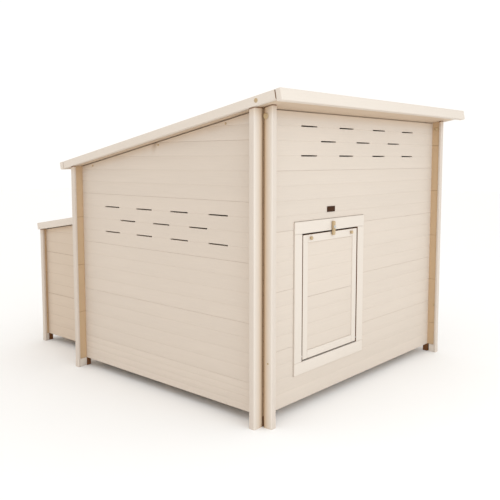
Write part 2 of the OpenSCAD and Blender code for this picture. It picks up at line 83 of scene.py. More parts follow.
def triangles(node):
    """Corner points of a CAD node's triangles, as an array of n by 3 by 3."""
    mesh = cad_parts[node].data
    mesh.calc_loop_triangles()
    points = np.empty(len(mesh.vertices) * 3)
    mesh.vertices.foreach_get("co", points)
    corners = np.empty(len(mesh.loop_triangles) * 3, np.int32)
    mesh.loop_triangles.foreach_get("vertices", corners)
    return points.reshape(-1, 3)[corners].reshape(-1, 3, 3)


def solids(node, axes=PLAIN):
    """Box of each separate solid of a CAD node, measured along the rows of axes.

    Corners that share a place get one label, and each triangle hands its lowest label to its
    corners until nothing changes. Returns a list of (lowest, highest) corners.
    """
    corner = triangles(node)
    flat = corner.reshape(-1, 3)
    _, place = np.unique(np.round(flat, 6), axis=0, return_inverse=True)
    place = place.reshape(-1, 3)
    label = np.arange(place.max() + 1)
    while True:
        lowest = label[place].min(axis=1)
        new = label.copy()
        np.minimum.at(new, place.ravel(), np.repeat(lowest, 3))
        if (new == label).all():
            break
        label = new
    local = flat @ axes.T
    owner = label[place].ravel()
    found = [local[owner == k] for k in np.unique(owner)]
    return [(p.min(axis=0), p.max(axis=0)) for p in found]


def box(node, axes=PLAIN):
    """Box round a whole CAD node, measured along the rows of axes."""
    local = triangles(node).reshape(-1, 3) @ axes.T
    return local.min(axis=0), local.max(axis=0)


def panel_axes(trim):
    """Axes of a sloping panel: across it, down its slope and out of it.

    The slope runs from the highest corner of a side trim to its rearmost one.
    """
    points = triangles(trim).reshape(-1, 3)
    top, rear = points[points[:, 2].argmax()], points[points[:, 1].argmax()]
    down = rear - top
    down[0] = 0
    down = unit(down)
    return np.array([X, down, np.cross(X, down)])


ROOF_TRIM, LID_TRIM = "roof_left_trim", "nest_lid_trim"
ROOF, LID = panel_axes(ROOF_TRIM), panel_axes(LID_TRIM)


# --- Surfaces ---

class Shell:
    """A closed surface: its points, its faces, and per point where it lies in the grain of its
    board (along, across, out), its marks (tone of the board, warm recess, depth of groove) and
    how far it lies below the panel that shades it."""

    def __init__(self, points, faces, grain, marks, below=None):
        self.points, self.faces = points, faces
        self.grain, self.marks = grain, marks
        self.below = np.ones(len(points)) if below is None else below


def near(edge, width):
    """Grid lines that resolve a rounded edge or groove of that half width."""
    return edge + width * np.array([-1, -0.6, -0.25, 0, 0.25, 0.6, 1])


def plain_marks(points, tone):
    """Grain places and marks of a plain surface. Each tone starts elsewhere in the grain."""
    marks = np.zeros_like(points)
    marks[:, 0] = tone
    return points + tone * GRAIN_STEP, marks


class Board:
    """A board that lies in a plane. Its outer face is face - relief(across): each long edge is
    rounded off by R - sqrt(R^2 - (R - s)^2) at s from the edge, and each shallow groove takes
    off depth * cos^2(pi/2 * s / w) within w of its line. The grooves divide the pitch evenly."""

    def __init__(self, low, high, face, back, tone, grooves=GROOVES, pitch=None):
        self.low, self.high, self.face, self.back = low, high, face, back
        self.look, self.tone = sizes(), tone
        span = pitch or high - low
        self.grooves = [low + span * k / (grooves + 1) for k in range(1, grooves + 1)]

    def lines(self):
        """Grid lines across the board."""
        r, w = self.look.edge_radius, self.look.groove_width / 2
        rim = r * np.array([0, 0.08, 0.3, 0.6, 1])
        parts = [self.low + rim, self.high - rim] + [near(g, w) for g in self.grooves]
        return np.concatenate(parts)

    def rounding(self, across):
        """How far the rounded long edges lie behind the face."""
        r = self.look.edge_radius
        s = np.clip(np.minimum(across - self.low, self.high - across), 0, r)
        return r - np.sqrt(np.maximum(r * r - (r - s) ** 2, 0))

    def grooving(self, across):
        """How far the grooves lie behind the face."""
        w = self.look.groove_width / 2
        total = np.zeros_like(across)
        for line in self.grooves:
            s = np.clip(np.abs(across - line) / w, 0, 1)
            total += self.look.groove_depth * np.cos(math.pi / 2 * s) ** 2
        return total


def board_shell(axes, board, along, across=(), keep=None, outer=None, inner=None, top=None, warm=None,
                shaded=None):
    """Closed board on a grid: out = outer(a) - relief(c) in front and inner(a) + rounding(c)
    behind, over every cell that keep(a, c) says, with walls round what is left. Points above
    top(a, out) are lowered to it, the front ones by shade_gap more. warm(a) says how far a
    stretch is warmed, and shaded(a) how far it lies in shade."""
    lines = np.unique(np.round(np.concatenate([board.lines(), across]), 6))
    lines = lines[(lines >= board.low - TINY) & (lines <= board.high + TINY)]
    along = np.unique(np.round(along, 6))
    a, c = np.meshgrid(along, lines, indexing="ij")
    sign = 1 if board.face > board.back else -1
    front = np.full_like(a, board.face) if outer is None else outer(a)
    back = np.full_like(a, board.back) if inner is None else inner(a)
    cf, cb = c, c
    below = np.ones_like(a)
    if top is not None:
        edge = top(a, front)
        cf, cb = np.minimum(c, edge - board.look.shade_gap), np.minimum(c, top(a, back))
        below = edge - cf
    rounded, grooved = board.rounding(cf), board.grooving(cf)
    front = front - sign * (rounded + grooved)
    back = back + sign * board.rounding(cb)
    points = np.concatenate([np.stack([a, cf, front], -1).reshape(-1, 3),
                             np.stack([a, cb, back], -1).reshape(-1, 3)])
    mid_a, mid_c = (along[1:] + along[:-1]) / 2, (lines[1:] + lines[:-1]) / 2
    middles = np.meshgrid(mid_a, mid_c, indexing="ij")
    kept = np.ones(middles[0].shape, bool) if keep is None else keep(*middles)
    if top is not None:
        reach = np.maximum(cf, cb)
        kept &= np.maximum(reach[:-1, 1:], reach[1:, 1:]) - c[:-1, :-1] > 1e-7
    faces = grid_faces(kept, a.shape)
    faces = faces[:, ::-1] if np.linalg.det(axes) * sign < 0 else faces
    grain, marks = plain_marks(points, board.tone)
    # Painted warm shade where warm(a) says, and painted dark shade at the rounded seams, in the grooves and
    # under the posts' lips
    if warm is not None:
        marks[:, 1] = np.tile(warm(a).ravel(), 2)
    seam, groove = rounded / board.look.edge_radius, grooved / board.look.groove_depth
    shade_at_end = 0 if shaded is None else shaded(a)
    deep = seam + board.look.groove_shade * groove + shade_at_end
    behind = board.rounding(cb) / board.look.edge_radius + shade_at_end
    marks[:, 2] = np.clip([deep, behind], 0, 1).ravel()
    below = np.concatenate([below.ravel(), np.ones(a.size)])
    return Shell(points @ axes, faces, grain, marks, below)


def grid_faces(kept, shape):
    """Quads of a double grid: the front over the kept cells, the back the other way round, and
    a wall wherever a kept cell has no kept neighbour."""
    i, j = np.nonzero(kept)
    wide = shape[1]
    one = i * wide + j
    a, b, c, d = one, one + wide, one + wide + 1, one + 1
    behind = shape[0] * shape[1]
    faces = [np.stack([a, b, c, d], 1), np.stack([a, d, c, b], 1) + behind]
    padded = np.pad(kept, 1)
    walls = ((padded[:-2, 1:-1], a, d), (padded[2:, 1:-1], c, b),
             (padded[1:-1, :-2], b, a), (padded[1:-1, 2:], d, c))
    for neighbour, start, end in walls:
        open_side = ~neighbour[i, j]
        s, e = start[open_side], end[open_side]
        faces.append(np.stack([s, e, e + behind, s + behind], 1))
    return np.concatenate(faces)


def index_pairs(rows, columns):
    return np.divmod(np.arange(rows * columns), columns)


def grain_first(points, axis):
    return points[:, [axis] + [k for k in range(3) if k != axis]]


def bar_shell(low, high, radius, axes=PLAIN, tone=0.5, length=None, steps=4):
    """Rounded bar: a sphere's point r * n(theta, phi) is pushed out to the corner of the box
    that its own octant faces. The grain runs along the longest side, or along axis length."""
    low, high = np.array([low, high], float)
    radius = min(radius, (high - low).min() / 2 * 0.98)
    centre, half = (low + high) / 2, (high - low) / 2 - radius
    quarter = np.linspace(0, math.pi / 2, steps + 1)
    theta = np.concatenate([quarter + k * math.pi / 2 for k in range(4)])
    phi = np.concatenate([quarter - math.pi / 2, quarter])
    side_x = np.repeat([1, -1, -1, 1], steps + 1)
    side_y = np.repeat([1, 1, -1, -1], steps + 1)
    side_z = np.repeat([-1, 1], steps + 1)
    t, p = np.meshgrid(theta, phi, indexing="ij")
    normal = np.stack([np.cos(t) * np.cos(p), np.sin(t) * np.cos(p), np.sin(p)], -1)
    sides = np.stack(np.broadcast_arrays(side_x[:, None], side_y[:, None], side_z), -1)
    points = centre + sides * half + radius * normal
    n, m = t.shape
    i, j = index_pairs(n, m - 1)
    k = (i + 1) % n
    faces = np.stack([i * m + j, k * m + j, k * m + j + 1, i * m + j + 1], 1)
    caps = [np.arange(n)[::-1] * m, np.arange(n) * m + m - 1]
    flat = points.reshape(-1, 3)
    if np.linalg.det(axes) < 0:
        faces, caps = faces[:, ::-1], [c[::-1] for c in caps]
    if length is None:
        length = int(np.argmax(high - low))
    return Shell(flat @ axes, [*faces, *caps], *plain_marks(grain_first(flat, length), tone))


def outline(points, radii, steps=5):
    """Closed outline whose corners are arcs: each corner is cut back by r * tan(turn / 2) along
    both its sides, and the arc between them is one of a circle of radius r."""
    points = np.asarray(points, float)
    made = []
    for k, r in enumerate(radii):
        p, before, after = points[k], points[k - 1], points[(k + 1) % len(points)]
        u, v = unit(before - p), unit(after - p)
        if r <= 0:
            made.append(p[None])
            continue
        half = math.acos(np.clip(u @ v, -1, 1)) / 2
        centre = p + (u + v) / np.linalg.norm(u + v) * r / math.sin(half)
        start, end = p + u * r / math.tan(half), p + v * r / math.tan(half)
        turn = math.pi - 2 * half
        s = np.linspace(0, 1, steps + 1)[:, None]
        e1 = (start - centre) / r
        e2 = unit(end - centre - e1 * (e1 @ (end - centre)))
        made.append(centre + r * (np.cos(s * turn) * e1 + np.sin(s * turn) * e2))
    return np.concatenate(made)


def prism_shell(profile, start, end, axes, tone=0.5, grain_axis=2, origin=(0, 0, 0)):
    """Profile carried along a straight path: its first two coordinates are the rows 0 and 1 of
    axes, and start and end, which may be functions of the profile's points, lie along row 2."""
    profile = np.asarray(profile, float)
    n = len(profile)
    level = [h(profile) if callable(h) else np.full(n, h) for h in (start, end)]
    local = np.concatenate([np.column_stack([profile, h]) for h in level])
    here = np.arange(n)
    nxt = np.roll(here, -1)
    faces = np.stack([here, nxt, nxt + n, here + n], 1)
    area = np.sum(profile[:, 0] * profile[nxt, 1] - profile[nxt, 0] * profile[:, 1])
    caps = [here[::-1], here + n]
    if area * np.linalg.det(axes) < 0:
        faces, caps = faces[:, ::-1], [c[::-1] for c in caps]
    points = local @ axes + np.asarray(origin)
    return Shell(points, [*faces, *caps], *plain_marks(grain_first(local, grain_axis), tone))


def lathe_shell(profile, centre, axis, around=32, tone=0.5):
    """Profile of (radius, height) turned about a level axis: point = centre + height * axis
    + radius * (cos(angle) * u + sin(angle) * v). Its ends lie on the axis, so it is closed."""
    radius, height = np.asarray(profile, float).T[..., None, None]
    u = unit(np.cross(axis, Z))
    v = np.cross(axis, u)
    angle = np.arange(around) * 2 * math.pi / around
    ring = np.cos(angle)[:, None] * u + np.sin(angle)[:, None] * v
    points = np.asarray(centre) + height * axis + radius * ring
    i, j = index_pairs(len(profile) - 1, around)
    k = (j + 1) % around
    faces = np.stack([i * around + j, i * around + k, (i + 1) * around + k, (i + 1) * around + j], 1)
    flat = points.reshape(-1, 3)
    return Shell(flat, faces, flat + tone, plain_marks(flat, tone)[1])


def make_piece(name, shells, body, slot, *nodes):
    """One object from its shells. Its doubles are merged, which closes poles and caps, and faces
    that meet more sharply than CREASE stay crisp. It stands for the CAD nodes that are named."""
    points = np.concatenate([s.points for s in shells])
    faces, base = [], 0
    for s in shells:
        faces += [tuple(int(v) + base for v in f) for f in s.faces]
        base += len(s.points)
    mesh = bpy.data.meshes.new(name)
    mesh.from_pydata(points, [], faces)
    for title, kind, field in (("grain", "FLOAT_VECTOR", "vector"), ("marks", "FLOAT_VECTOR", "vector"),
                               ("below", "FLOAT", "value")):
        values = np.concatenate([getattr(s, title) for s in shells]).astype(np.float32)
        mesh.attributes.new(title, kind, "POINT").data.foreach_set(field, values.ravel())
    work = bmesh.new()
    work.from_mesh(mesh)
    bmesh.ops.remove_doubles(work, verts=work.verts, dist=MERGE)
    bmesh.ops.dissolve_degenerate(work, edges=work.edges, dist=DEGENERATE)
    work.to_mesh(mesh)
    work.free()
    mesh.polygons.foreach_set("use_smooth", np.ones(len(mesh.polygons), bool))
    mesh.set_sharp_from_angle(angle=CREASE)
    mesh.update()
    piece = bpy.data.objects.new(name, mesh)
    bpy.context.scene.collection.objects.link(piece)
    mesh.materials.append(finish_named(slot))
    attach(piece, body)
    if nodes:
        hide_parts(*nodes)


def replace_node(node, shells, body="house", slot="pale_board"):
    make_piece("shaped_" + node, shells, body, slot, node)


# --- Shader maths ---

class Value:
    """A number socket. Python's operators on it add Math nodes."""

    def __init__(self, tree, socket):
        self.tree, self.socket = tree, socket

    def math(self, operation, *values):
        return self.tree.node("ShaderNodeMath", {"operation": operation}, dict(enumerate(values)))

    def __add__(self, other):
        return self.math("ADD", self, other)

    def __mul__(self, other):
        return self.math("MULTIPLY", self, other)

    def clamped(self):
        return self.tree.node("ShaderNodeClamp", {}, {"Value": self})

    __radd__ = __add__
    __rmul__ = __mul__


class Tree:
    """A material's nodes. node() adds any of them and returns the output that is asked for."""

    def __init__(self, name):
        self.material = bpy.data.materials.new(name)
        self.material.use_nodes = True
        self.nodes, self.links = self.material.node_tree.nodes, self.material.node_tree.links
        self.shader = self.nodes["Principled BSDF"]

    def node(self, kind, settings, inputs, out=0):
        made = self.nodes.new(kind)
        for key, value in settings.items():
            setattr(made, key, value)
        for key, value in inputs.items():
            self.put(made.inputs[key], value)
        return Value(self, made.outputs[out])

    def put(self, socket, value):
        if isinstance(value, Value):
            self.links.new(value.socket, socket)
        elif hasattr(value, "__len__") and len(value) == 3 and socket.type == "RGBA":
            socket.default_value = (*value, 1.0)
        else:
            socket.default_value = value

    def attribute(self, name, out="Vector"):
        """A piece's own attribute: its vector, or its number as Fac."""
        return self.node("ShaderNodeAttribute", {"attribute_name": name}, {}, out)

    def part(self, vector, axis):
        return self.node("ShaderNodeSeparateXYZ", {}, {0: vector}, axis)

    def scaled(self, vector, scale):
        return self.node("ShaderNodeVectorMath", {"operation": "MULTIPLY"}, {0: vector, 1: scale})

    def noise(self, vector, scale, detail=2.0, rough=0.5):
        inputs = {"Vector": vector, "Scale": scale, "Detail": detail, "Roughness": rough}
        return self.node("ShaderNodeTexNoise", {}, inputs)

    def mix(self, share, one, two):
        """Mix of two colours."""
        return self.node("ShaderNodeMix", {"data_type": "RGBA"}, {0: share, 6: one, 7: two}, 2)

    def spread(self, value, low, high, to_low=0.0, to_high=1.0):
        inputs = {"Value": value, 1: low, 2: high, 3: to_low, 4: to_high}
        return self.node("ShaderNodeMapRange", {}, inputs)

    def bump(self, height, distance, strength=1.0):
        return self.node("ShaderNodeBump", {}, {"Height": height, "Distance": distance, "Strength": strength})

    def finish(self, colour, roughness, normal, metallic=0.0, specular=0.5):
        for key, value in (("Base Color", colour), ("Roughness", roughness), ("Normal", normal),
                           ("Metallic", metallic), ("Specular IOR Level", specular)):
            self.put(self.shader.inputs[key], value)
        return self.material


def shade(colour, factor):
    """A colour made lighter or darker."""
    return [min(1.0, c * factor) for c in colour]


def composite(name, colour, warm, crack, streak=0.06, bump=0.00025):
    """Moulded wood composite: fine streaks along the grain, slow changes of tone from board to
    board, a warmer colour in recesses and a darker one down in the grooves."""
    t = Tree(name)
    grain, marks = t.attribute("grain"), t.attribute("marks")
    tone, recess, deep = t.part(marks, 0), t.part(marks, 1), t.part(marks, 2)
    below = t.attribute("below", "Fac")
    fine = t.noise(t.scaled(grain, (5.0, 420.0, 420.0)), 1.0, 4.0, 0.6)
    fibre = t.noise(t.scaled(grain, (14.0, 1300.0, 1300.0)), 1.0, 2.0, 0.5)
    cloudy = t.noise(t.scaled(grain, (2.2, 9.0, 9.0)), 1.0, 3.0, 0.55)
    grit = t.noise(grain, 900.0, 2.0, 0.6)
    level = t.spread(fine, 0.3, 0.7) * 0.5 + t.spread(fibre, 0.3, 0.7) * 0.3
    level = level + t.spread(cloudy, 0.3, 0.7) * 0.35 + tone * 0.35
    base = t.mix((level * 0.66).clamped(), shade(colour, 1 - streak), shade(colour, 1 + streak))
    # Painted warm shade in recesses
    base = t.mix(recess.clamped(), base, warm)
    # Painted shadow line just under the roof or lid, and painted warm shade spreading about 30 mm down from
    # it
    shadow = t.spread(below, 0.0015, 0.0042, 1.0, 0.0) * 0.9
    eave_warm_shade = t.spread(below, 0.003, 0.03, 0.45, 0.0)
    base = t.mix(eave_warm_shade.clamped(), base, warm)
    # Painted dark shade in seams, grooves, joints and crevices, with the painted shadow line
    base = t.mix((deep * (recess * 0.9 + BARE_CRACK) + shadow).clamped(), base, crack)
    rough = t.spread(fine + grit * 0.5, 0.4, 1.1, 0.5, 0.68)
    height = fine * 0.6 + fibre * 0.25 + grit * 0.3
    return t.finish(base, rough, t.bump(height, bump, 0.7), specular=0.35)


def plastic(name, colour):
    """Moulded tan plastic with a faint speckle and a soft sheen."""
    t = Tree(name)
    place = t.attribute("grain")
    speckle, cloud = t.noise(place, 700.0, 3.0), t.noise(place, 60.0, 2.0)
    base = t.mix(t.spread(cloud * 0.6 + speckle * 0.4, 0.35, 0.65), shade(colour, 0.88), shade(colour, 1.06))
    return t.finish(base, t.spread(speckle, 0.3, 0.7, 0.38, 0.5), t.bump(speckle, 0.00008), specular=0.45)


def zinc(name, colour):
    """Zinc plate: grey metal with a soft mottle and fine scratches."""
    t = Tree(name)
    place = t.node("ShaderNodeTexCoord", {}, {}, "Object")
    mottle, scratch = t.noise(place, 160.0, 3.0), t.noise(t.scaled(place, (40.0, 900.0, 900.0)), 1.0, 2.0)
    base = t.mix(t.spread(mottle, 0.3, 0.7), shade(colour, 0.82), colour)
    rough = t.spread(mottle * 0.5 + scratch * 0.5, 0.3, 0.7, 0.26, 0.46)
    return t.finish(base, rough, t.bump(scratch, 0.00003), metallic=1.0)


def dark_enamel(name, colour):
    """Dark blank plate with a slightly uneven enamel."""
    t = Tree(name)
    place = t.node("ShaderNodeTexCoord", {}, {}, "Object")
    cloud = t.noise(place, 220.0, 3.0)
    base = t.mix(t.spread(cloud, 0.3, 0.7), shade(colour, 0.7), shade(colour, 1.25))
    return t.finish(base, t.spread(cloud, 0.3, 0.7, 0.6, 0.75), t.bump(cloud, 0.00006), specular=0.1)


def finish_named(slot):
    """The finish of a material slot, made once."""
    name = slot + "_finish"
    found = bpy.data.materials.get(name)
    if found:
        return found
    c = bpy.context.scene.coop_colours
    # The painted shade colours: the warm shade of recesses and the dark shade of cracks
    shade_colours = (c.recess, c.crack)
    make, *values = {
        "pale_board": (composite, c.board, *shade_colours),
        "smooth_trim": (composite, c.trim, *shade_colours, 0.035, 0.00012),
        "inner_board": (composite, c.inner, *shade_colours, 0.09),
        "tan_fixings": (plastic, c.fixing),
        "zinc": (zinc, c.metal),
        "dark_plate": (dark_enamel, c.plate),
    }[slot]
    return make(name, *values)


# --- Settings ---

def number(name, default, text, **more):
    return FloatProperty(name=name, description=text, default=default, **more)


def length(name, default, text):
    return number(name, default, text, min=0.0, subtype="DISTANCE", unit="LENGTH")


def angle(name, degrees, text):
    return number(name, math.radians(degrees), text, subtype="ANGLE", unit="ROTATION")


def colour(name, default, text):
    return FloatVectorProperty(name=name, description=text, default=default, subtype="COLOR", size=3,
                               min=0.0, max=1.0)


class CoopSizes(bpy.types.PropertyGroup):
    """Sizes of the finish that the CAD leaves out."""

    edge_radius: length("Board edge", 0.0012, "Radius of the boards' long edges")
    groove_width: length("Groove width", 0.0034, "Width of the shallow grooves in a board")
    groove_depth: length("Groove depth", 0.0005, "Depth of the shallow grooves in a board")
    # How dark the painted shade in a groove is, against a seam's
    groove_shade: number("Groove dirt", 0.22, "Darkness of a groove against a seam", min=0.0, max=1.0)
    slot_length: length("Slot length", 0.087, "Length of a vent slot")
    slot_height: length("Slot height", 0.0045, "Height of a vent slot")
    slot_step_front: length("Front slot step", 0.217, "Distance between slot centres in the front")
    slot_step_side: length("Side slot step", 0.186, "Distance between slot centres in the sides")
    side_vent_mid: length("Side vents", 0.467, "From the front wall's face to the middle of the side slots")
    trim_radius: length("Trim edge", 0.0035, "Radius of the trims' and posts' edges")
    crevice: length("Corner crevice", 0.0055, "Gap between the two posts of a corner")
    # How far the painted brown shade of a joint reaches round its edges
    joint_shade_reach: length("Joint stain", 0.0015, "How far the brown of a joint reaches round its edges")
    trim_joint: length("Trim joint", 0.0012, "Gap where two roof trims meet")
    plug_radius: length("Plug radius", 0.0068, "Radius of the plugs in the roof's side trims")
    plug_height: length("Plug height", 0.0012, "How far a plug stands out")
    plug_place: length("Plug place", 0.074, "Distance of a plug from the front of its trim")
    crevice_fade: length("Crevice shade", 0.024, "How far the warm shade of a corner reaches")
    shade_gap: length("Shade line", 0.0025, "Gap seen under the roof and the lid")
    door_gap: length("Door gap", 0.005, "The most that the frame's inner edge stands off the door")
    recess: length("Leaf recess", 0.004, "How far the boards lie inside the posts")
    post_skin: length("Post skin", 0.006, "Thickness of the post skins")
    lip_fade: length("Lip fade", 0.0016, "How far the shade of a post's lip fades")
    post_lip: length("Post lip", 0.010, "Width of the lip on a post's inner face")


class CoopColours(bpy.types.PropertyGroup):
    """Colours of the finishes."""

    board: colour("Boards", (0.66, 0.57, 0.485), "Colour of the wall and roof boards")
    trim: colour("Trims", (0.71, 0.63, 0.55), "Colour of the posts, trims and frames")
    inner: colour("Inside", (0.62, 0.46, 0.30), "Colour of the floor, rails and roosts")
    # Painted warm shade of the boards inside the posts, of the post crevices, the soffit and under the roof's
    # edge
    recess: colour("Recess", (0.58, 0.41, 0.25), "Warm colour of the boards inside the posts")
    # Painted dark shade of the seams, joints, crevices and the line under the roof
    crack: colour("Cracks", (0.17, 0.065, 0.018), "Brown of the seams, joints and lines of shade")
    fixing: colour("Fixings", (0.50, 0.36, 0.20), "Colour of the knobs, bolts and turn button")
    metal: colour("Hinges", (0.62, 0.62, 0.62), "Colour of the hinges and pins")
    plate: colour("Plate", (0.055, 0.022, 0.010), "Colour of the blank plate")


class CoopStage(bpy.types.PropertyGroup):
    """Camera, floor and light."""

    camera_place: FloatVectorProperty(
        name="Camera", description="Place of the camera", default=(-2.0717, -1.9516, 0.8266),
        subtype="XYZ", unit="LENGTH")
    yaw: angle("Yaw", 48.316, "Turn of the view from +Y towards +X")
    pitch: angle("Pitch", 5.285, "Tilt of the view below the horizon")
    lens: number("Lens", 47.62, "Focal length in millimetres")
    shift: number("Shift", -0.058, "Vertical shift of the lens")
    sky: number("Sky", 1.05, "Strength of the pale surroundings")
    sky_colour: colour("Sky colour", (1.0, 0.985, 0.96), "Colour of the pale surroundings")
    key_colour: colour("Key colour", (0.74, 0.88, 1.0), "Colour of the main light")
    key: number("Key light", 26.0, "Power of the main light", unit="POWER")
    fill: number("Fill light", 1.0, "Power of the soft light", unit="POWER")
    floor_size: length("Floor", 30.0, "Side of the floor")


def sizes():
    return bpy.context.scene.coop_sizes


def tones(seed, count):
    """The same spread of board tones every run."""
    return np.random.default_rng(seed).random(count)


# --- Walls ---

def recess_warmth(low, high, least):
    """Says how warm a board is: all of it inside the posts, and a little near them."""

    def warm(a):
        near_post = np.clip(1 - np.minimum(a - low, high - a) / POST_SHADE_REACH, 0, 1)
        return np.where((a < low) | (a > high), 1.0, np.maximum(least, 0.35 * near_post))

    return warm


def underside(node, axes):
    """Underside of a sloping panel: the height at a depth y, less the clearance."""
    level = box(node, axes)[0][2] - PANEL_CLEARANCE
    return lambda y: (level - axes[2][1] * y) / axes[2][2]


def holes(edges):
    """Test for places inside any of the boxes (a0, a1, c0, c1), and the grid lines of their edges."""
    edges = np.array(edges)
    a0, a1, c0, c1 = edges.T[..., None, None]

    def inside(a, c):
        return ((a > a0) & (a < a1) & (c > c0) & (c < c1)).any(axis=0)

    return inside, edges[:, :2].ravel(), edges[:, 2:].ravel()


def slots(mid, step, low, height):
    """The vent slots, in three rows at the board's quarters: four, three and four."""
    s = sizes()
    wide, tall = s.slot_length / 2, s.slot_height / 2
    rows = [(low + height * (k + 1) / 4, n) for k, n in enumerate((4, 3, 4))]
    places = [(mid + (i - (n - 1) / 2) * step, level) for level, n in rows for i in range(n)]
    return holes([(a - wide, a + wide, c - tall, c + tall) for a, c in places])


def wall_board(node, out_axis, out_sign, run, crossing, level, neck, tone, top=None, cuts=(),
               extra=(), pitch=None, warmth=0.0):
    """One wall board. run is its stretch between the crossed walls' outer faces, crossing their
    thickness, level its full (low, high) and neck what it keeps at the crossings. cuts come from
    holes(). pitch is the height that its grooves divide, where that isn't its own."""
    s = sizes()
    ends = np.array(box(node))
    back, face = ends[::out_sign, out_axis]
    tip0, tip1 = ends[:, 1 - out_axis]
    x0, x1 = run
    step = 5e-5
    board = Board(*level, face, back, tone, pitch=pitch)

    def recessed(level, way):
        return lambda a: np.where((a < x0 - step / 2) | (a > x1 + step / 2), level + way * s.recess, level)

    def keep(a, c):
        at_neck = ((a > x0) & (a < x0 + crossing)) | ((a > x1 - crossing) & (a < x1))
        kept = ~at_neck | ((c > neck[0]) & (c < neck[1]))
        for test, _, _ in cuts:
            kept &= ~test(a, c)
        return kept

    # The leaves pass out of sight under the posts' lips, where they lie in shade
    hidden = s.post_lip - s.post_skin
    shade0, shade1 = tip0 + hidden, tip1 - hidden
    fade = s.lip_fade
    # Painted warm shade on the board inside the posts and near them
    warm = recess_warmth(x0 - step / 2, x1 + step / 2, warmth)

    def shaded(a):
        return np.clip(1 - np.minimum(a - shade0, shade1 - a) / fade, 0, 1)

    along = np.concatenate([[tip0, x0 - step, x0, x0 + crossing, x1 - crossing, x1, x1 + step, tip1],
                            [x0 + POST_SHADE_REACH, x1 - POST_SHADE_REACH, shade0, shade1, shade0 + fade, shade1 - fade],
                            np.linspace(x0 + crossing, x1 - crossing, 25), extra,
                            *[c[1] for c in cuts]])
    along = along[(along >= tip0) & (along <= tip1)]
    across = np.concatenate([neck, *[c[2] for c in cuts]])
    return board_shell(WALL_AXES[out_axis], board, along, across, keep, recessed(face, -out_sign),
                       recessed(back, out_sign), top, warm, shaded)


def wall_frame():
    """Outer faces of the four house walls, their thickness and the boards' height and foot."""
    left, right = box("left_board_2"), box("right_board_2")
    front, back = box("front_board_2"), box("back_board_2")
    return {
        "x": (left[0][0], right[1][0]),
        "y": (front[0][1], back[1][1]),
        "thick": left[1][0] - left[0][0],
        "foot": box("front_board_1")[0][2],
        "height": front[1][2] - front[0][2],
    }


def door_opening():
    """The part of a front board that the door frame takes, with a hairline round it."""
    (x0, _, z0), (x1, _, z1) = box("door_frame")
    hair = 0.0012
    return holes([(x0 - hair, x1 + hair, z0 - hair, z1 + hair)])


def nest_openings():
    """The holes from the house into the nest bays, one in the middle of each bay."""
    cells = sorted(solids("nest_dividers"), key=lambda s: s[0][0])
    left, right = box("nest_left_wall")[1][0], box("nest_right_wall")[0][0]
    stops = [left] + [v for lo, hi in cells for v in (lo[0], hi[0])] + [right]
    middles = [(stops[k] + stops[k + 1]) / 2 for k in (0, 2, 4)]
    wide, tall = NEST_HOLE
    z0 = wall_frame()["foot"] + NEST_SILL
    return holes([(m - wide / 2, m + wide / 2, z0, z0 + tall) for m in middles])


def level_wall(side, sign, count, seed, cuts, last_cuts=()):
    """Front or back wall, whose last board runs up to the roof at its highest face."""
    w, line = wall_frame(), underside(ROOF_TRIM, ROOF)
    highest = w["y"][0] if sign < 0 else w["y"][1] - w["thick"]
    for k, tone in enumerate(tones(seed, count)):
        node = f"{side}_board_{k + 1}"
        last = k == count - 1
        low, h = w["foot"] + k * w["height"], w["height"]
        level = (low, line(highest) if last else low + h)
        top = (lambda a, out: line(out)) if last else None
        shell = wall_board(node, 1, sign, w["x"], w["thick"], level, (low + h / 4, low + 3 * h / 4), tone,
                           top, [*cuts, *(last_cuts if last else ())], pitch=h)
        replace_node(node, [shell])


def build_front_wall():
    w, s = wall_frame(), sizes()
    top_row = w["foot"] + FRONT_ROWS_BELOW * w["height"]
    vents = slots(sum(w["x"]) / 2, s.slot_step_front, top_row, w["height"])
    level_wall("front", -1, FRONT_ROWS_BELOW + 1, 11, [door_opening()], [vents])


def build_back_wall():
    level_wall("back", 1, FRONT_ROWS_BELOW, 23, [nest_openings()])


def half_step_row(w, j, seam=0.0):
    """Level and neck of a row in a wall that starts with a half board."""
    h = w["height"]
    low = w["foot"] + (0 if j == 0 else (j - 0.5) * h)
    high = w["foot"] + (j + 0.5) * h - seam
    return (low, high), (low if j == 0 else low + h / 4 + seam, high - h / 4)


def build_side_wall(side, sign, seed):
    """The roof cuts the upper boards on the slope."""
    w, s, line = wall_frame(), sizes(), underside(ROOF_TRIM, ROOF)
    for j, tone in enumerate(tones(seed, 6)):
        node = f"{side}_board_{j + 1}"
        level, neck = half_step_row(w, j)
        middle = w["y"][0] + s.side_vent_mid
        cuts = [slots(middle, s.slot_step_side, level[0], w["height"])] if j == SIDE_VENT_ROW else []
        meets = [(line(0) - z) / (line(0) - line(1)) for z in level]
        top = (lambda a, out: line(a)) if line(w["y"][1] + LEAF_REACH) < level[1] else None
        board = wall_board(node, 0, sign, w["y"], w["thick"], level, neck, tone, top, cuts, meets)
        replace_node(node, [board])


# --- Posts ---

